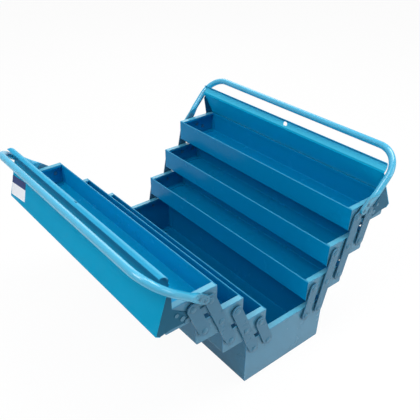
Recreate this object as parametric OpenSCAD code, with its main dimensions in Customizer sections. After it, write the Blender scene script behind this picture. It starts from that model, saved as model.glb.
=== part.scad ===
// Cantilever tool box: a base well and two banks of three trays that fold out on riveted levers,
// with a hinged half lid and a bent tube handle on each bank. Millimetres, +Z up.
// X runs across the box (the banks open towards -X and +X), Y runs along it.
// The origin is at the middle of the base's flat underside.

/* [Base] */
// Length of the base and of every tray, over the end walls
box_l = 510; // [350:1:700]
// Width of the base over its long walls
box_w = 200; // [190:1:230]
// Height of the base
base_h = 103; // [90:1:160]

/* [Trays] */
// How far a closed tray's outer wall stands in from the base's
tray_inset = 1; // [0.5:0.5:3]
// Height of each tray
tray_h = 46; // [42:0.5:48]
// Thickness of the sheet steel
sheet = 1.2; // [0.8:0.1:1.5]
// Outer radius of the folds along the bottom edges
fold_r = 3; // [2:0.5:5]
// Height of the folded-over hem along the long rims
hem_h = 7; // [5:0.5:10]
// Width of the flange turned inwards at the top of each end wall
flange_w = 10; // [6:0.5:14]
// Depth of the return edge under that flange
return_h = 5; // [3:0.5:7]
// Width of the spot-welded tabs that join an end wall to its shell
tab_w = 14; // [10:1:20]

/* [Levers] */
// Distance between neighbouring pivots along a lever
lever_pitch = 61; // [60:0.5:62]
// Distance between neighbouring pivots along a tray
pivot_step = 34; // [33:0.5:35]
// Distance from a tray's outer long wall to its outermost pivot
pivot_inset = 14; // [12.5:0.5:14.5]
// Depth of the pivots below the rim of the tray or base
pivot_depth = 20; // [18:0.5:21]
// Width of a lever
lever_w = 21; // [18:0.5:22]
// Thickness of a lever
lever_t = 2; // [1.5:0.5:2.5]
// Gap between an end wall and the levers in front of it
lever_gap = 2.8; // [2.8:0.1:4]
// Gap between the middle plane and the inner wall of a closed tray
centre_gap = 1.5; // [1:0.1:2.5]

/* [Rivets] */
// Diameter of the pivot rivets' shanks
rivet_d = 6; // [5:0.5:7]
// Diameter of the rivets' round outer heads
rivet_head_d = 11.5; // [10:0.5:13]
// Height of the rivets' round outer heads
rivet_head_h = 1.6; // [1:0.1:2.5]
// Diameter of the shoulder that spaces a lever from its wall
shoulder_d = 9; // [8:0.5:9]

/* [Handles] */
// Outer diameter of the handle tube
tube_d = 13; // [11:0.5:13]
// Wall thickness of the handle tube
tube_wall = 1.5; // [1:0.1:2]
// Distance from the upper lever pivot to the middle of the hand grip
grip_reach = 136.5; // [125:0.5:145]
// Radius of the tube's two bends, at the middle of the tube
bend_r = 48; // [35:1:60]
// Angle between a handle's arms and the levers that carry them
arm_bend = 30.5; // [28:0.5:32]
// Width of the flattened tube ends
flat_w = 16; // [14:0.5:18]
// Thickness of the flattened tube ends
flat_t = 4; // [3:0.5:5]

/* [Lids] */
// Distance from the tray's outer long wall to the lid's pivot
lid_pivot_inset = 30.5; // [29.5:0.5:31.5]
// Depth of the lid's pivot below the tray's rim
lid_pivot_depth = 29; // [28:0.5:30]
// How far the closed lid's eave stands out from the tray's outer wall
eave_out = 4; // [4:0.1:5]
// Height of the closed lid's eave above the tray's rim
eave_z = 6; // [5.8:0.1:7]
// Slope of the closed lid
roof_angle = 16.5; // [15.5:0.5:18]
// Distance from the tray's inner long wall to the ridge, where the flat roof ends
ridge_x = 15.7; // [15:0.1:18]
// Height of the upright part of the right lid's lip
lip_rise = 3.5; // [1:0.5:6]
// Radius at which that lip then curls over towards the left lid
lip_r = 11.5; // [9:0.5:11.5]
// Inner radius of the left lid's lip, which rolls back over its own roof
hook_r = 10; // [8:0.5:11]
// Angle that the left lid's lip turns through
hook_turn = 127; // [100:1:140]
// How far that lip's ends are cut back, to pass the handle's bends
hook_trim = 2.5; // [2.2:0.1:8]
// Depth of the skirt folded down along the eave
skirt_h = 9; // [7.5:0.5:10]
// Height of the padlock slot in the lips
lock_d = 7; // [6:0.5:8]
// Length of the padlock slot along the box
lock_l = 11; // [9:0.5:16]
// Height of the padlock slot's middle above the ridge
lock_z = 9.5; // [8:0.5:10]
// Distance of the padlock slot from the middle of the box, towards the near end
lock_y = 5; // [0:1:30]

/* [Pose] */
// Lean of the left bank's levers from upright, outwards
lean_left = 22; // [-33:1:22]
// Lean of the right bank's levers from upright, outwards
lean_right = 12; // [-33:1:22]

/* [Hidden] */
$fn = 48;
// Radial clearance of a rivet in the wall that it is fixed to, and of a lever turning on it
fixed_gap = 0.02;
running_gap = 0.08;
// Clearance along the rivets on each side of a lever
side_gap = 0.2;
// Inner heads of the rivets
inner_head_d = 8;
inner_head_h = 1;
// Layers in front of an end wall: the lid's cheek plate, then the lid link, then the levers
cheek_gap = 0.25;
cheek_t = 1;
cheek_face = cheek_gap + cheek_t;
link_gap = 1.45;
link_t = 1;
link_slack = 0.1;
link_w = 8;
link_pin_d = 4;
lever_face = lever_gap + lever_t;
flat_y = box_l / 2 + lever_face + flat_t / 2;
// The round tube stands further out than its flattened ends, clear of the lid's end
tube_clear = 3;
arm_y = box_l / 2 + tube_clear + tube_d / 2;
// Flattened tube ends: first rivet, second rivet, end of the flat and start of the round tube
flat_rivets = [16, 29];
flat_end = 38;
tube_start = 54;
// Thickness of the two slices that the tube's swell is drawn between
swell_slice = 0.5;
// How much narrower the lever's seat is than the flattened tube, at each edge
seat_inset = 1;
arm_rivet_d = 4;
arm_head_d = 8;
arm_head_h = 1.2;
arm_foot_d = 7;
arm_foot_h = 0.8;
vent_d = 3;
// How far a cut runs on past the face that it opens
cut_extra = 1;
// Lean of the levers, inwards, when the box is shut
shut_lean = asin(pivot_step / lever_pitch);
// The lid link's pins, from the pivots that they turn about, when the box is shut
pin_r = 11;
pin_angle = -76.5;
pin_offset = [pin_r * cos(pin_angle), pin_r * sin(pin_angle)];
// Width of each tray over its long walls
tray_w = box_w / 2 - centre_gap - tray_inset;
// Pivots in a tray's own plane, from its inner wall and its rim: outer, middle and inner
outer_pivot = [tray_w - pivot_inset, -pivot_depth];
middle_pivot = outer_pivot - [pivot_step, 0];
inner_pivot = middle_pivot - [pivot_step, 0];
lid_pivot = [tray_w - lid_pivot_inset, -lid_pivot_depth];
link_span = lid_pivot - inner_pivot;
// The shut lid's eave, its flat roof and the ridge, which is measured from the eave
eave_x = tray_w + eave_out;
roof_len = (eave_x - ridge_x) / cos(roof_angle);
ridge = roof_len * [cos(roof_angle), sin(roof_angle)];
// Cheek plates of the shut lid: its narrow end by the ridge, then points from the lid's pivot
cheek_start_x = ridge_x + 6.3;
cheek_start_h = 4.7;
cheek_throat = lid_pivot + [-12, 30];
cheek_tip = lid_pivot + [21, 13];
cheek_heel = lid_pivot + [8, -7];
cheek_lug_r = 11;
cheek_ear_r = 5.5;
stud_at = lid_pivot + [-3.5, 15];
stud_d = 7;
stud_h = 1.1;
stud_pin_d = 4;
lid_head_h = 1.1;

paint = "#1f8fc2";
paint_dark = "#176f9c";
bright = "#8fc4dc";

function lean_of(side) = side == "left" ? lean_left : lean_right;
function level_x(k, lean) = centre_gap + k * (pivot_step + lever_pitch * sin(lean));
function level_z(k, lean) = base_h + k * lever_pitch * cos(lean);
function turned(p, lean) = [p.x * cos(lean) + p.y * sin(lean), p.y * cos(lean) - p.x * sin(lean)];

// ---- Frames ----

// A bank is drawn opening towards +X, and the left one is its mirror image
module bank(side) {
    if (side == "left") mirror([1, 0, 0]) children();
    else children();
}

// Origin at the rim of level k (0 is the base), on the inner wall's outer face
module at_level(side, k) {
    bank(side)
        translate([level_x(k, lean_of(side)), 0, level_z(k, lean_of(side))])
            children();
}

module both_ends() {
    children();
    mirror([0, 1, 0]) children();
}

// Draws in the plane of the end wall: x across, y up, z away from the wall
module on_end() {
    translate([0, -box_l / 2, 0]) rotate([90, 0, 0]) children();
}

// Extrudes a cross-section along the box
module along(length) {
    rotate([90, 0, 0]) linear_extrude(length, center = true) children();
}

// Turns a lid from shut to the bank's pose, about its own pivot
module lid_pose(side) {
    translate([lid_pivot.x, 0, lid_pivot.y])
        rotate([0, lean_of(side) + shut_lean, 0])
            translate([-lid_pivot.x, 0, -lid_pivot.y]) children();
}

// ---- Shapes ----

module trough(w, h, r) {
    translate([0, -h + r]) square([w, h - r]);
    translate([r, -h]) square([w - 2 * r, r]);
    translate([r, -h + r]) circle(r);
    translate([w - r, -h + r]) circle(r);
}

module hem() {
    translate([0, -hem_h]) square([2 * sheet, hem_h - sheet]);
    translate([sheet, -sheet]) circle(sheet);
}

module shell_section(w, h) {
    difference() {
        trough(w, h, fold_r);
        translate([sheet, 0]) trough(w - 2 * sheet, h - sheet, fold_r - sheet);
        translate([0, -sheet]) square([w, sheet + cut_extra]);
    }
    hem();
    translate([w, 0]) mirror([1, 0]) hem();
}

// Folded shell: the floor and both long walls of the base or a tray
module shell(w, h) {
    along(box_l - 2 * sheet) shell_section(w, h);
}

// A shell's outline from the end: folds at the bottom, rounded hems at the top
module end_outline(w, h) {
    translate([0, -sheet]) trough(w, h - sheet, fold_r);
    translate([sheet, -sheet]) square([w - 2 * sheet, sheet]);
    for (x = [sheet, w - sheet]) translate([x, -sheet]) circle(sheet);
}

// End wall with its flange, return edge and three welded tabs, and a hole at each pivot
module end_wall(w, h, pivots) {
    inset = 2 * sheet;
    difference() {
        on_end() {
            translate([0, 0, -sheet]) linear_extrude(sheet) end_outline(w, h);
            translate([inset, -sheet, -flange_w]) cube([w - 2 * inset, sheet, flange_w]);
            translate([inset, -return_h, -flange_w]) cube([w - 2 * inset, return_h, sheet]);
            translate([sheet, -h + 2 * fold_r, -tab_w]) cube([sheet, h - 2 * fold_r - hem_h, tab_w]);
            translate([w - inset, -h + 2 * fold_r, -tab_w]) cube([sheet, h - 2 * fold_r - hem_h, tab_w]);
            translate([2 * fold_r, sheet - h, -tab_w]) cube([w - 4 * fold_r, sheet, tab_w]);
        }
        for (p = pivots) pivot_hole(p, rivet_d / 2 + fixed_gap);
    }
}

module pivot_hole(p, r) {
    on_end() translate([p.x, p.y, -box_l / 4]) cylinder(r = r, h = box_l / 2);
}

// Round-headed rivet standing on an end wall: inner head, shoulder, shank and domed outer head
module pivot_rivet(reach, shoulder) {
    shank = rivet_d / 2;
    head = rivet_head_d / 2;
    crown = reach + side_gap;
    rotate_extrude() polygon(concat(
        [[0, -sheet - inner_head_h], [inner_head_d / 2, -sheet - inner_head_h],
         [inner_head_d / 2, -sheet], [shank, -sheet], [shank, 0]],
        shoulder > 0 ? [[shoulder_d / 2, 0], [shoulder_d / 2, shoulder], [shank, shoulder]] : [],
        [[shank, crown]],
        [for (t = [0:15:75]) [head * cos(t), crown + rivet_head_h * sin(t)]],
        [[0, crown + rivet_head_h]]));
}

module lever_rivets(pivots) {
    both_ends() on_end() for (p = pivots)
        translate([p.x, p.y, 0]) pivot_rivet(lever_face, lever_gap - side_gap);
}

// Flat lever with round ends, its lowest pivot at the origin
module lever_outline(spans, width) {
    translate([-width / 2, 0]) square([width, spans * lever_pitch]);
    circle(d = width);
    translate([0, spans * lever_pitch]) circle(d = width);
}

module lever_holes(spans) {
    for (k = [0:spans]) translate([0, k * lever_pitch]) circle(rivet_d / 2 + running_gap);
}

module lever(side, k, pivot, spans) {
    at_level(side, k) both_ends() on_end()
        translate([pivot.x, pivot.y, lever_gap]) rotate(-lean_of(side))
            linear_extrude(lever_t) difference() {
                lever_outline(spans, lever_w);
                lever_holes(spans);
            }
}

// ---- Base ----

module base_shell() {
    color(paint) translate([-box_w / 2, 0, base_h]) shell(box_w, base_h);
}

module base_ends() {
    pivots = [outer_pivot, middle_pivot];
    holes = [for (p = pivots, s = [-1, 1]) [box_w / 2 + s * (centre_gap + p.x), p.y]];
    color(paint_dark) translate([-box_w / 2, 0, base_h])
        both_ends() end_wall(box_w, base_h, holes);
}

module base_rivets() {
    color(bright) for (side = ["left", "right"])
        at_level(side, 0) lever_rivets([outer_pivot, middle_pivot]);
}

// ---- Trays ----

function tray_pivots(k) = k == 3 ? [middle_pivot, inner_pivot] : [outer_pivot, middle_pivot, inner_pivot];

module tray_shell(side, k) {
    color(paint) at_level(side, k) shell(tray_w, tray_h);
}

module tray_ends(side, k) {
    pivots = k == 3 ? concat(tray_pivots(k), [lid_pivot]) : tray_pivots(k);
    color(paint_dark) at_level(side, k) both_ends() end_wall(tray_w, tray_h, pivots);
}

module tray_rivets(side, k) {
    color(bright) at_level(side, k) {
        lever_rivets(tray_pivots(k));
        if (k == 3) both_ends() on_end() translate([lid_pivot.x, lid_pivot.y, 0]) lid_rivet();
    }
}

// Low rivet that the lid's cheek turns on, flat enough to stay behind the levers
module lid_rivet() {
    translate([0, 0, -sheet - inner_head_h]) cylinder(d = inner_head_d, h = inner_head_h);
    translate([0, 0, -sheet]) cylinder(d = rivet_d, h = sheet + cheek_face + side_gap);
    translate([0, 0, cheek_face + side_gap]) cylinder(d = shoulder_d, h = lid_head_h);
}

// ---- Levers ----

module lever_a(side) {
    color(paint) lever(side, 0, outer_pivot, 2);
}

module lever_b(side) {
    color(paint) lever(side, 0, middle_pivot, 1);
}

// The handle lever carries on past its top pivot, bent outwards under the handle's arm
module lever_c(side) {
    color(paint) at_level(side, 1) both_ends() on_end()
        translate([outer_pivot.x, outer_pivot.y, 0]) rotate(-lean_of(side)) {
            translate([0, 0, lever_gap]) linear_extrude(lever_t) difference() {
                union() {
                    lever_outline(2, lever_w);
                    translate([0, 2 * lever_pitch]) rotate(-arm_bend) arm_seat();
                }
                lever_holes(2);
                translate([0, 2 * lever_pitch]) rotate(-arm_bend)
                    for (s = flat_rivets) translate([0, s]) circle(arm_rivet_d / 2 + fixed_gap);
            }
            translate([0, 2 * lever_pitch]) rotate(-shut_lean) translate(pin_offset) link_pin_inward();
        }
}

module arm_seat() {
    seat_w = flat_w - 2 * seat_inset;
    translate([-seat_w / 2, 0]) square([seat_w, flat_end - seat_w / 2]);
    translate([0, flat_end - seat_w / 2]) circle(d = seat_w);
}

// Pin under the handle lever that pushes the lid link
module link_pin_inward() {
    foot = link_gap - link_slack;
    translate([0, 0, foot]) cylinder(d = link_pin_d, h = lever_gap - foot);
}

module lever_d(side) {
    color(paint) lever(side, 2, outer_pivot, 1);
}

// ---- Handles ----

// Works along a handle's arm: z runs from the upper lever pivot to the hand grip
module arm_frame(side) {
    at_level(side, 3) translate([inner_pivot.x, 0, inner_pivot.y])
        rotate([0, lean_of(side) + arm_bend, 0]) children();
}

module handle(side) {
    color(paint) arm_frame(side) difference() {
        union() {
            tube_path(tube_d);
            both_ends() flat_end_piece();
        }
        tube_path(tube_d - 2 * tube_wall);
        both_ends() for (s = flat_rivets)
            translate([0, -flat_y, s]) rotate([90, 0, 0])
                cylinder(r = arm_rivet_d / 2 + fixed_gap, h = 2 * flat_t, center = true);
        both_ends() translate([0, -arm_y, tube_start + tube_d])
            rotate([-90, 0, 0]) cylinder(d = vent_d, h = tube_d);
    }
}

module tube_path(d) {
    straight = 2 * (arm_y - bend_r);
    translate([0, 0, grip_reach]) rotate([90, 0, 0]) cylinder(d = d, h = straight, center = true);
    both_ends() {
        translate([0, -arm_y, tube_start]) cylinder(d = d, h = grip_reach - bend_r - tube_start);
        translate([0, bend_r - arm_y, grip_reach - bend_r]) rotate([90, 0, -90])
            rotate_extrude(angle = 90) translate([bend_r, 0]) circle(d = d);
    }
}

// Flattened end of the tube, with the swell where it turns from round to flat
module flat_end_piece() {
    tip = flat_rivets[0];
    translate([0, -flat_y, tip]) rotate([90, 0, 0]) cylinder(d = flat_w, h = flat_t, center = true);
    translate([-flat_w / 2, -flat_y - flat_t / 2, tip]) cube([flat_w, flat_t, flat_end - tip]);
    hull() {
        translate([-flat_w / 2, -flat_y - flat_t / 2, flat_end - swell_slice])
            cube([flat_w, flat_t, swell_slice]);
        translate([0, -arm_y, tube_start - swell_slice]) cylinder(d = tube_d, h = swell_slice);
    }
}

// Rivets that hold the flattened ends on the handle levers
module handle_rivets(side) {
    color(bright) arm_frame(side) both_ends() for (s = flat_rivets)
        translate([0, -box_l / 2, s]) rotate([90, 0, 0]) arm_rivet();
}

module arm_rivet() {
    head = arm_head_d / 2;
    foot = lever_gap - arm_foot_h;
    top = lever_face + flat_t;
    translate([0, 0, foot]) cylinder(d = arm_foot_d, h = arm_foot_h);
    translate([0, 0, foot]) cylinder(d = arm_rivet_d, h = top - foot);
    translate([0, 0, top]) rotate_extrude() polygon(concat(
        [[0, 0]],
        [for (t = [0:15:75]) [head * cos(t), arm_head_h * sin(t)]],
        [[0, arm_head_h]]));
}

// ---- Lids ----

module lid_panel(side) {
    length = box_l + 2 * cheek_face;
    color(paint) at_level(side, 3) lid_pose(side) difference() {
        translate([eave_x, 0, eave_z]) mirror([1, 0, 0]) {
            along(length) roof_section();
            if (side == "left") along(length - 2 * hook_trim)
                rotate(roof_angle) translate([roof_len, hook_r]) hook_lip();
            else along(length) translate(ridge) curl_lip();
        }
        lock_slot();
    }
}

// Cross-section of the skirt and the flat roof, from the eave (at the origin) to the ridge
module roof_section() {
    rotate(roof_angle) translate([0, -sheet]) square([roof_len, sheet]);
    translate([0, -skirt_h]) square([sheet, skirt_h - sheet / 2]);
    translate([sheet / 2, -skirt_h]) circle(sheet / 2);
}

// Left lip: a roll back over the roof, drawn about its middle and ending in a bead
module hook_lip() {
    reach = 2 * hook_r;
    difference() {
        circle(hook_r + sheet);
        circle(hook_r);
        translate([-reach, -reach]) square([reach, 2 * reach]);
        rotate(hook_turn - 90) square(reach);
    }
    rotate(hook_turn - 90) translate([hook_r + sheet / 2, 0]) circle(sheet);
}

// Right lip: upright, then curled over towards the left lid and ending in a bead
module curl_lip() {
    translate([0, -sheet]) square([sheet, lip_rise + sheet]);
    translate([lip_r, lip_rise]) {
        intersection() {
            difference() {
                circle(lip_r);
                circle(lip_r - sheet);
            }
            translate([-lip_r, 0]) square(lip_r);
        }
        translate([0, lip_r - sheet]) circle(sheet);
    }
}

module lock_slot() {
    flat = lock_l - lock_d;
    translate([0, -lock_y, eave_z + ridge.y + lock_z]) rotate([90, 0, 90])
        linear_extrude(box_w / 4, center = true) {
            square([flat, lock_d], center = true);
            for (end = [-1, 1]) translate([end * flat / 2, 0]) circle(d = lock_d);
        }
}

// Cheek plates close the lid's ends and carry its pivots
module lid_cheeks(side) {
    color(paint_dark) at_level(side, 3) lid_pose(side) both_ends() on_end()
        translate([0, 0, cheek_gap]) linear_extrude(cheek_t) difference() {
            cheek_outline();
            translate(lid_pivot) circle(rivet_d / 2 + running_gap);
            translate(lid_pivot + pin_offset) circle(link_pin_d / 2 + fixed_gap);
            translate(stud_at) circle(stud_pin_d / 2 + fixed_gap);
        }
}

module cheek_outline() {
    roof_drop = sheet / cos(roof_angle);
    eave = [eave_x - sheet, eave_z + sheet * tan(roof_angle) - roof_drop];
    start = [cheek_start_x, eave.y + (eave.x - cheek_start_x) * tan(roof_angle)];
    polygon([start, eave, [eave.x, eave_z - skirt_h], cheek_tip, cheek_heel, lid_pivot,
             lid_pivot + [-cheek_lug_r, 0], cheek_throat, start - [0, cheek_start_h]]);
    translate(lid_pivot) circle(cheek_lug_r);
    translate(lid_pivot + pin_offset) circle(cheek_ear_r);
}

// Studs riveted in the cheeks: the link's pin and a guide stud that keeps the cheek off the levers
module lid_pins(side) {
    color(bright) at_level(side, 3) lid_pose(side) both_ends() on_end() {
        translate(concat(lid_pivot + pin_offset, [cheek_gap]))
            cylinder(d = link_pin_d, h = link_gap + link_t + link_slack - cheek_gap);
        translate(concat(stud_at, [cheek_gap])) {
            cylinder(d = stud_pin_d, h = cheek_t);
            translate([0, 0, cheek_t]) cylinder(d = stud_d, h = stud_h);
        }
    }
}

// Link between the handle lever and the lid's cheek: it turns the lid as the lever turns
module lid_links(side) {
    start = inner_pivot + turned(pin_offset, lean_of(side) + shut_lean);
    slope = atan2(link_span.y, link_span.x);
    color(paint_dark) at_level(side, 3) both_ends() on_end()
        translate([start.x, start.y, link_gap]) rotate(slope) linear_extrude(link_t) difference() {
            union() {
                translate([0, -link_w / 2]) square([norm(link_span), link_w]);
                circle(d = link_w);
                translate([norm(link_span), 0]) circle(d = link_w);
            }
            circle(link_pin_d / 2 + running_gap);
            translate([norm(link_span), 0]) circle(link_pin_d / 2 + running_gap);
        }
}

// ---- Assembly ----

base_shell();
base_ends();
base_rivets();
for (side = ["left", "right"]) {
    for (k = [1:3]) {
        tray_shell(side, k);
        tray_ends(side, k);
        tray_rivets(side, k);
    }
    lever_a(side);
    lever_b(side);
    lever_c(side);
    lever_d(side);
    handle(side);
    handle_rivets(side);
    lid_panel(side);
    lid_cheeks(side);
    lid_pins(side);
    lid_links(side);
}
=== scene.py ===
"""Dresses the cantilever tool box: blue enamel on folded sheet steel, standing open on a white floor."""
import math
import bpy
import bmesh
from mathutils import Matrix, Vector


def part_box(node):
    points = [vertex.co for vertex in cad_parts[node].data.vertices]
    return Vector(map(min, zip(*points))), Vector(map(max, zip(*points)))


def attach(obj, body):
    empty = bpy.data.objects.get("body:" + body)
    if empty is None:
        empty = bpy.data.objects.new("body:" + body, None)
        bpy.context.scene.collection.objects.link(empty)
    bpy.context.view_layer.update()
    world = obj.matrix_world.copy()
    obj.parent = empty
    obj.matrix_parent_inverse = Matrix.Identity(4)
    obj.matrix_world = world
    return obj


MM = 0.001

# ---- Driving dimensions, as in the part's source (millimetres and degrees) ----
BOX_L = 510.0
BASE_H = 103.0
CENTRE_GAP = 1.5
LEVER_PITCH, PIVOT_STEP = 61.0, 34.0
LID_PIVOT = (67.0, -29.0)
EAVE = (101.5, 6.0)
ROOF_ANGLE, RIDGE_X = 16.5, 15.7
LEAN = {"left": 22.0, "right": 12.0}
SHUT_LEAN = math.degrees(math.asin(PIVOT_STEP / LEVER_PITCH))
TOP_TRAY = 3

# ---- Camera: the photograph's own, fitted to the box's corners ----
IMAGE_PX = 420.0
FOCAL_PX = 535.85
CENTRE_PX = (200.56, 254.89)
CAM_AZIMUTH, CAM_ELEVATION, CAM_ROLL = -38.68, 36.63, -0.09
CAM_DISTANCE = 1.15055
CAM_TARGET = Vector((0, 0, 0.1))
CAM_CLIP = (0.05, 50.0)
SENSOR = 36.0


def back_vector(azimuth, elevation):
    """Unit vector from the target towards a camera or lamp at that azimuth and elevation."""
    a, e = math.radians(azimuth), math.radians(elevation)
    return Vector((math.sin(a) * math.cos(e), -math.cos(a) * math.cos(e), math.sin(e)))


def make_camera():
    data = bpy.data.cameras.new("photo_camera")
    camera = bpy.data.objects.new("photo_camera", data)
    bpy.context.scene.collection.objects.link(camera)
    back = back_vector(CAM_AZIMUTH, CAM_ELEVATION)
    right = Vector((0, 0, 1)).cross(back).normalized()
    up = back.cross(right)
    roll = Matrix.Rotation(math.radians(-CAM_ROLL), 3, back)
    axes = Matrix((roll @ right, roll @ up, back)).transposed()
    camera.matrix_world = Matrix.Translation(CAM_TARGET + back * CAM_DISTANCE) @ axes.to_4x4()
    data.sensor_width = SENSOR
    data.lens = FOCAL_PX / IMAGE_PX * SENSOR
    data.shift_x = (IMAGE_PX / 2 - CENTRE_PX[0]) / IMAGE_PX
    data.shift_y = (CENTRE_PX[1] - IMAGE_PX / 2) / IMAGE_PX
    data.clip_start, data.clip_end = CAM_CLIP
    bpy.context.scene.camera = camera


# ---- Node helpers ----

NOISE_SPAN = (0.3, 0.7)
# The Mix node has sockets for numbers, vectors and colours; these are its colour ones
MIX_COLOUR_INPUTS, MIX_COLOUR_OUTPUT = (6, 7), 2


def new_material(name):
    material = bpy.data.materials.new(name)
    material.use_nodes = True
    tree = material.node_tree
    tree.nodes.clear()
    out = tree.nodes.new("ShaderNodeOutputMaterial")
    return material, tree, out


def add(tree, kind, inputs=None, **settings):
    node = tree.nodes.new(kind)
    for key, value in settings.items():
        setattr(node, key, value)
    for key, value in (inputs or {}).items():
        socket = node.inputs[key]
        if isinstance(value, bpy.types.NodeSocket):
            tree.links.new(value, socket)
        else:
            socket.default_value = value
    return node


def noise(tree, where, scale, detail=2.0, roughness=0.5):
    return add(tree, "ShaderNodeTexNoise",
               {"Vector": where, "Scale": scale, "Detail": detail, "Roughness": roughness}).outputs["Fac"]


def spread(tree, value, low, high):
    """Maps a noise, which mostly stays within NOISE_SPAN, onto a range."""
    start, end = NOISE_SPAN
    limits = {"From Min": start, "From Max": end, "To Min": low, "To Max": high}
    return add(tree, "ShaderNodeMapRange", {"Value": value, **limits}).outputs["Result"]


def ramp(tree, value, start, end):
    """0 up to start, rising to 1 at end (metres), or the other way round."""
    return add(tree, "ShaderNodeMapRange",
               {"Value": value, "From Min": start, "From Max": end}).outputs["Result"]


def calculate(tree, operation, *values):
    return add(tree, "ShaderNodeMath", dict(enumerate(values)), operation=operation).outputs[0]


def coordinate(tree, where, axis):
    return add(tree, "ShaderNodeSeparateXYZ", {0: where}).outputs[axis]


def from_middle(tree, where, axis):
    """How far a point lies from the box's middle along an axis, on either side."""
    return calculate(tree, "ABSOLUTE", coordinate(tree, where, axis))


def blend(tree, factor, low, high):
    """Mixes two colours, each a socket or a plain colour."""
    mix = add(tree, "ShaderNodeMix", {"Factor": factor}, data_type="RGBA")
    for index, colour in zip(MIX_COLOUR_INPUTS, (low, high)):
        if isinstance(colour, bpy.types.NodeSocket):
            tree.links.new(colour, mix.inputs[index])
        else:
            mix.inputs[index].default_value = colour
    return mix.outputs[MIX_COLOUR_OUTPUT]


def linear(red, green, blue):
    """sRGB 0 to 255 as the linear colour that Blender's sockets take."""
    def channel(value):
        value /= 255.0
        return value / 12.92 if value <= 0.04045 else ((value + 0.055) / 1.055) ** 2.4
    return (channel(red), channel(green), channel(blue), 1.0)


def tinted(colour, factor):
    return tuple(min(1.0, c * factor) for c in colour[:3]) + (1.0,)


# ---- Materials ----

# Noises of the enamel: scale, detail and, for the first, roughness
CLOUD_NOISE, GLOSS_NOISE, PEEL_NOISE = (9.0, 4.0, 0.6), (30.0, 3.0), (160.0, 1.0)
GLOSS_SPREAD = 0.05
PEEL_DEPTH, PEEL_STRENGTH = 0.02 * MM, 0.5


def paint(name, colour, gloss=0.24, specular=0.3, cloud=0.05, tints=()):
    """Stoved enamel: a faint cloudiness in the colour, uneven gloss and a very fine orange peel.

    Each tint is a colour and a mask, laid over the ones before it.
    """
    material, tree, out = new_material(name)
    where = add(tree, "ShaderNodeTexCoord").outputs["Object"]
    cloudy = noise(tree, where, *CLOUD_NOISE)
    mixed = blend(tree, cloudy, tinted(colour, 1.0 - cloud), tinted(colour, 1.0 + cloud))
    for tint, mask in tints:
        mixed = blend(tree, mask(tree, where), mixed, tint)
    rough = spread(tree, noise(tree, where, *GLOSS_NOISE), gloss - GLOSS_SPREAD, gloss + GLOSS_SPREAD)
    ripple = noise(tree, where, *PEEL_NOISE)
    bump = add(tree, "ShaderNodeBump",
               {"Strength": PEEL_STRENGTH, "Distance": PEEL_DEPTH, "Height": ripple}).outputs["Normal"]
    shader = add(tree, "ShaderNodeBsdfPrincipled",
                 {"Base Color": mixed, "Roughness": rough, "Normal": bump, "Specular IOR Level": specular})
    tree.links.new(shader.outputs[0], out.inputs[0])
    return material


# ---- Masks: each draws, from a node's own coordinates, where a tint goes; the tints are painted highlights, painted shade and painted reflections ----

# Each pair is where a mask starts and where it is full, in millimetres
RIM_BELOW_TOP = (1.6, 0.5)
WALL_BELOW_TOP = (1.5, 3.0)
WALL_INSIDE_FACE = (0.8, 0.3)
RIM_PAST_REACH = 2.0


def rim_highlight_mask(top, reach=None):
    """The rolled rims and flanges, where a highlight is painted in; reach keeps it near the box's middle."""
    def mask(tree, where):
        start, end = (top - depth * MM for depth in RIM_BELOW_TOP)
        rim = ramp(tree, coordinate(tree, where, "Z"), start, end)
        if reach is None:
            return rim
        near = ramp(tree, from_middle(tree, where, "X"), reach + RIM_PAST_REACH * MM, reach)
        return calculate(tree, "MULTIPLY", rim, near)
    return mask


def outside_mask(axis, reach, top):
    """The outer faces of the walls at that reach from the box's middle, below the rim."""
    def mask(tree, where):
        outer = ramp(tree, from_middle(tree, where, axis), *(reach - depth * MM for depth in WALL_INSIDE_FACE))
        below = ramp(tree, coordinate(tree, where, "Z"), *(top - depth * MM for depth in WALL_BELOW_TOP))
        return calculate(tree, "MULTIPLY", outer, below)
    return mask


def tube_end_shade_mask(reach, start, end):
    """The part of a handle near its ends, by how far past that reach it lies."""
    def mask(tree, where):
        return ramp(tree, from_middle(tree, where, "X"), reach + start * MM, reach + end * MM)
    return mask


def beyond_mask(eave, way, start, end):
    """What lies further from a lid's eave than the millimetres given, up the roof or out of its plane."""
    def mask(tree, where):
        reach = add(tree, "ShaderNodeVectorMath", {0: where, 1: way}, operation="DOT_PRODUCT").outputs["Value"]
        return ramp(tree, reach, eave.dot(way) + start * MM, eave.dot(way) + end * MM)
    return mask


# ---- Stage and light ----

FLOOR_HALF, FLOOR_DROP = 12.0, 0.0003
FLOOR_GREY = (0.9, 0.9, 0.9, 1)
WHITE = (1, 1, 1, 1)
FLOOR_GLOW = 0.95
WORLD_LEVEL = 0.3
# Each lamp: azimuth, elevation, distance in metres, size in metres, power in watts
LAMPS = {
    "left": (-86.0, 53.0, 2.2, 1.0, 21.0),
    "overhead": (-62.0, 86.0, 2.2, 1.0, 6.0),
    "right": (60.0, 65.0, 2.2, 1.0, 24.0),
    "back": (145.0, 37.0, 2.2, 1.1, 8.0),
    "front_right": (25.0, 22.0, 2.6, 1.2, 13.0),
}


def floor_material():
    """White to the camera and in reflections, with the object's shadow left in it faintly."""
    material, tree, out = new_material("floor_white")
    path = add(tree, "ShaderNodeLightPath")
    diffuse = add(tree, "ShaderNodeBsdfDiffuse", {"Color": FLOOR_GREY})
    glow = add(tree, "ShaderNodeEmission", {"Color": WHITE, "Strength": 1.0})
    lit = add(tree, "ShaderNodeMixShader", {0: FLOOR_GLOW, 1: diffuse.outputs[0], 2: glow.outputs[0]})
    seen = add(tree, "ShaderNodeMixShader",
               {0: shown_rays(tree, path), 1: diffuse.outputs[0], 2: lit.outputs[0]})
    tree.links.new(seen.outputs[0], out.inputs[0])
    return material


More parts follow.
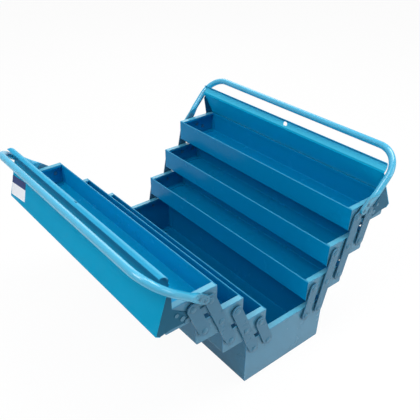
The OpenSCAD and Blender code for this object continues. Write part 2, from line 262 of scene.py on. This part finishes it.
def shown_rays(tree, path):
    """1 for a ray that shows the background: from the camera, a reflection or a transmission."""
    mirrored = calculate(tree, "MAXIMUM", path.outputs["Is Glossy Ray"], path.outputs["Is Transmission Ray"])
    return calculate(tree, "MAXIMUM", path.outputs["Is Camera Ray"], mirrored)


def make_floor():
    mesh = bpy.data.meshes.new("floor")
    maker = bmesh.new()
    bmesh.ops.create_grid(maker, x_segments=1, y_segments=1, size=FLOOR_HALF)
    maker.to_mesh(mesh)
    maker.free()
    floor = bpy.data.objects.new("floor", mesh)
    floor.location.z = -FLOOR_DROP
    bpy.context.scene.collection.objects.link(floor)
    mesh.materials.append(floor_material())


def make_world():
    world = bpy.data.worlds.new("studio")
    world.use_nodes = True
    bpy.context.scene.world = world
    tree = world.node_tree
    tree.nodes.clear()
    path = add(tree, "ShaderNodeLightPath")
    strength = add(tree, "ShaderNodeMapRange",
                   {"Value": shown_rays(tree, path), "To Min": WORLD_LEVEL, "To Max": 1.0})
    sky = add(tree, "ShaderNodeBackground", {"Color": WHITE, "Strength": strength.outputs["Result"]})
    out = add(tree, "ShaderNodeOutputWorld")
    tree.links.new(sky.outputs[0], out.inputs[0])


def make_lamps():
    for name, (azimuth, elevation, distance, size, power) in LAMPS.items():
        data = bpy.data.lights.new(name, "AREA")
        data.size, data.energy = size, power
        lamp = bpy.data.objects.new(name, data)
        back = back_vector(azimuth, elevation)
        lamp.location = CAM_TARGET + back * distance
        lamp.rotation_euler = back.to_track_quat("Z", "Y").to_euler()
        bpy.context.scene.collection.objects.link(lamp)


# ---- The CAD nodes' looks ----

# Bevels in millimetres: the sheet and tube, and the rivets, pins and links
SHEET_BEVEL, SMALL_BEVEL = 0.35, 0.25
BEVEL_ANGLE, BEVEL_SEGMENTS = 40.0, 2


def dress(node, material, bevel):
    for slot in node.material_slots:
        slot.link = "OBJECT"
        slot.material = material
    edge = node.modifiers.new("pressed_edge", "BEVEL")
    edge.width, edge.segments = bevel * MM, BEVEL_SEGMENTS
    edge.limit_method, edge.angle_limit = "ANGLE", math.radians(BEVEL_ANGLE)
    edge.harden_normals = True


SHELL_BLUE = linear(0, 134, 186)
# Two shells whose insides differ a little from the others': the base's painted darker as painted shade, the left
# top tray's painted lighter as painted light
SHADE_AND_LIGHT_BLUE = {"base_shell": linear(0, 122, 174), "left_tray3_shell": linear(4, 152, 200)}
# Outer walls greyer and darker than the shell blue: a painted grey reflection of the white floor and painted shade
SIDE_SHADE_REFLECTION_BLUE = linear(56, 120, 150)
# Painted highlight along the rolled rims
RIM_HIGHLIGHT_BLUE = linear(52, 146, 186)
# The end walls' outer faces greyer: a painted grey reflection of the white floor
END_REFLECTION_BLUE = linear(76, 136, 166)
# Painted highlight on the end walls' flanges
FLANGE_HIGHLIGHT_BLUE = linear(84, 164, 192)
LEVER_BLUE, RIVET_BLUE = linear(58, 116, 146), linear(66, 122, 150)
TUBE_BLUE = linear(52, 167, 205)
# Painted shade on the handles' flattened ends, deeper on the left
TUBE_END_SHADE_BLUE = {"left": linear(34, 122, 156), "right": linear(44, 146, 180)}
# The lid's blue, and its inside painted lighter than its outside: painted light
LID_BLUE, INSIDE_LIGHT_BLUE = linear(0, 153, 196), linear(0, 172, 218)
# The lids' cheeks painted darker: painted shade
CHEEK_SHADE_BLUE = linear(22, 94, 124)
# The lids' lips painted brighter: a painted highlight
LIP_HIGHLIGHT_BLUE = {"left": linear(88, 176, 210), "right": linear(76, 204, 240)}
# The left lid: painted shade in the crease behind its lip, and on the lip's free edge. The right lid: painted shade
# on the top of its lip's curl
CREASE_SHADE_BLUE, BEAD_SHADE_BLUE, CURL_SHADE_BLUE = linear(0, 110, 152), linear(42, 148, 188), linear(24, 130, 172)

# Where a lid's tints start and are full, in millimetres: out from its roof's plane, or up the roof from its eave
INSIDE_LIGHT_OUT, LIP_HIGHLIGHT_OUT, BEAD_OUT = (-0.4, -0.8), (1, 3), (8, 13)
CREASE_UP, CURL_UP = (68, 78), (99.5, 102)
# How far past its inner side a top tray's painted rim highlight reaches, and where the painted shade on a handle's
# end starts and is full
INNER_RIM_HIGHLIGHT, TUBE_END = 12, (30, 14)


def side_of(name):
    return name.split("_")[0]


def reaches(name):
    """How near and how far from the box's middle a node's long sides stand, for nodes on one side of it."""
    low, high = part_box(name)
    return sorted((abs(low[0]), abs(high[0])))


def top_of(name):
    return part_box(name)[1][2]


def shell_tints(name):
    """Outer walls painted greyer and darker, a painted reflection of the white floor and painted shade, and rims
    painted brighter, a painted highlight; on the top trays the outer rim lies against the lid and stays plain.
    """
    top, (inner, outer) = top_of(name), reaches(name)
    highlight_reach = inner + INNER_RIM_HIGHLIGHT * MM if name.endswith(f"tray{TOP_TRAY}_shell") else None
    return [(SIDE_SHADE_REFLECTION_BLUE, outside_mask("X", outer, top)), (RIM_HIGHLIGHT_BLUE, rim_highlight_mask(top, highlight_reach))]


# The end walls' outer faces get a painted grey reflection and their flanges a painted highlight
def end_tints(name):
    top = top_of(name)
    return [(END_REFLECTION_BLUE, outside_mask("Y", BOX_L / 2 * MM, top)), (FLANGE_HIGHLIGHT_BLUE, rim_highlight_mask(top))]


def handle_tints(name):
    """The flattened ends, towards the box's middle, are painted darker than the tube: painted shade."""
    return [(TUBE_END_SHADE_BLUE[side_of(name)], tube_end_shade_mask(reaches(name)[0], *TUBE_END))]


# A lid's inside gets painted light and its lip a painted highlight; painted shade lies in the left lid's crease and
# on its lip's edge, and on the top of the right lip's curl
def lid_tints(name):
    side = side_of(name)
    eave, up, out = roof_frame(side)
    tints = [(INSIDE_LIGHT_BLUE, beyond_mask(eave, out, *INSIDE_LIGHT_OUT)), (LIP_HIGHLIGHT_BLUE[side], beyond_mask(eave, out, *LIP_HIGHLIGHT_OUT))]
    if side == "left":
        return ([(CREASE_SHADE_BLUE, beyond_mask(eave, up, *CREASE_UP))] + tints
                + [(BEAD_SHADE_BLUE, beyond_mask(eave, out, *BEAD_OUT))])
    return tints + [(CURL_SHADE_BLUE, beyond_mask(eave, up, *CURL_UP))]


def dress_nodes(nodes):
    """Gives each node its enamel: a paint of its own where it has tints, or one shared by its kind."""
    lever = paint("lever_paint", LEVER_BLUE, gloss=0.3)
    rivet = paint("rivet_paint", RIVET_BLUE, gloss=0.28)
    # Painted shade: the cheeks' darker blue
    cheek = paint("cheek_paint", CHEEK_SHADE_BLUE, specular=0.1)
    shared = {"cheeks": cheek, "rivets": rivet, "pins": rivet}
    own = {
        "shell": lambda name: dict(colour=SHADE_AND_LIGHT_BLUE.get(name, SHELL_BLUE), specular=0.1, tints=shell_tints(name)),
        "ends": lambda name: dict(colour=SHELL_BLUE, tints=end_tints(name)),
        "handle": lambda name: dict(colour=TUBE_BLUE, gloss=0.21, specular=0.75, tints=handle_tints(name)),
        "panel": lambda name: dict(colour=LID_BLUE, gloss=0.55, specular=0.05, tints=lid_tints(name)),
    }
    for name, node in nodes.items():
        kind = name.split("_")[-1]
        look = paint(name + "_paint", **own[kind](name)) if kind in own else shared.get(kind, lever)
        dress(node, look, SMALL_BEVEL if kind in ("rivets", "pins", "links") else SHEET_BEVEL)


# ---- The label on the left lid ----

def level_origin(side, k):
    """Where a tray's rim meets its inner long wall, for a bank that opens towards +X."""
    lean = math.radians(LEAN[side])
    return Vector((CENTRE_GAP + k * (PIVOT_STEP + LEVER_PITCH * math.sin(lean)), 0,
                   BASE_H + k * LEVER_PITCH * math.cos(lean)))


def on_lid(side, x, z):
    """A point of the shut lid, from the top tray's rim and inner wall, where the open lid has it (metres)."""
    turn = Matrix.Rotation(math.radians(LEAN[side] + SHUT_LEAN), 3, "Y")
    pivot = Vector((LID_PIVOT[0], 0, LID_PIVOT[1]))
    point = level_origin(side, TOP_TRAY) + pivot + turn @ (Vector((x, 0, z)) - pivot)
    if side == "left":
        point.x = -point.x
    return point * MM


def roof_frame(side):
    """The open roof's eave, the direction up the roof and its outward normal (metres)."""
    rise = (EAVE[0] - RIDGE_X) * math.tan(math.radians(ROOF_ANGLE))
    eave = on_lid(side, *EAVE)
    up = (on_lid(side, RIDGE_X, EAVE[1] + rise) - eave).normalized()
    out = Vector((0, -1 if side == "left" else 1, 0)).cross(up)
    return eave, up, out


LABEL_W, LABEL_H, LABEL_T, LABEL_R = 60.0, 39.0, 0.12, 1.5
LABEL_CORNERS = ((1, 1), (-1, 1), (-1, -1), (1, -1))
CORNER_STEPS = 4
# The band's lower edge, as a share of the label's height from its foot, and half the width it blends over
LABEL_BAND, BAND_BLEND = 0.62, 0.2
LABEL_UP, LABEL_ALONG, LABEL_TILT, LABEL_LIFT = 28.0, 225.0, 6.0, 0.02
PAPER_WHITE, BAND_BLUE = linear(238, 241, 247), linear(22, 50, 108)


def band_mask(tree, where):
    edge = (LABEL_BAND - 0.5) * LABEL_H
    return ramp(tree, coordinate(tree, where, "Y"), (edge - BAND_BLEND) * MM, (edge + BAND_BLEND) * MM)


def label_mesh():
    """A sheet of paper with rounded corners, lying in X and Y about its middle."""
    maker = bmesh.new()
    rim = []
    for index, (sx, sy) in enumerate(LABEL_CORNERS):
        for step in range(CORNER_STEPS + 1):
            angle = math.radians(90 * (index + step / CORNER_STEPS))
            rim.append(maker.verts.new(((sx * (LABEL_W / 2 - LABEL_R) + LABEL_R * math.cos(angle)) * MM,
                                        (sy * (LABEL_H / 2 - LABEL_R) + LABEL_R * math.sin(angle)) * MM, 0)))
    face = maker.faces.new(rim)
    lifted = bmesh.ops.extrude_face_region(maker, geom=[face])
    bmesh.ops.translate(maker, vec=(0, 0, LABEL_T * MM),
                        verts=[v for v in lifted["geom"] if isinstance(v, bmesh.types.BMVert)])
    bmesh.ops.recalc_face_normals(maker, faces=maker.faces)
    mesh = bpy.data.meshes.new("lid_label")
    maker.to_mesh(mesh)
    maker.free()
    mesh.materials.append(paint("label_paper", PAPER_WHITE, gloss=0.4, specular=0.1, cloud=0.02,
                                tints=[(BAND_BLUE, band_mask)]))
    return mesh


def make_label():
    label = bpy.data.objects.new("lid_label", label_mesh())
    bpy.context.scene.collection.objects.link(label)
    eave, up, out = roof_frame("left")
    tilt = Matrix.Rotation(math.radians(LABEL_TILT), 4, "Z")
    axes = Matrix((up.cross(out), up, out)).transposed().to_4x4() @ tilt
    place = eave + up * LABEL_UP * MM + Vector((0, LABEL_ALONG * MM, 0)) + out * LABEL_LIFT * MM
    label.matrix_world = Matrix.Translation(place) @ axes
    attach(label, "left_lid")


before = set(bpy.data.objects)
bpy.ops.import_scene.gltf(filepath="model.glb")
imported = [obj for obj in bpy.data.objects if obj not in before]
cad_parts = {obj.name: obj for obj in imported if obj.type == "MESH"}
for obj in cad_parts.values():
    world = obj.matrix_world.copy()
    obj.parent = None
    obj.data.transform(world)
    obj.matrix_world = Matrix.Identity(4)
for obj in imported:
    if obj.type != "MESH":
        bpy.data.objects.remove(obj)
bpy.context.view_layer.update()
make_camera()
make_world()
make_lamps()
make_floor()
dress_nodes(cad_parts)
make_label()
bpy.context.scene.view_settings.view_transform = "Standard"

bpy.context.view_layer.update()
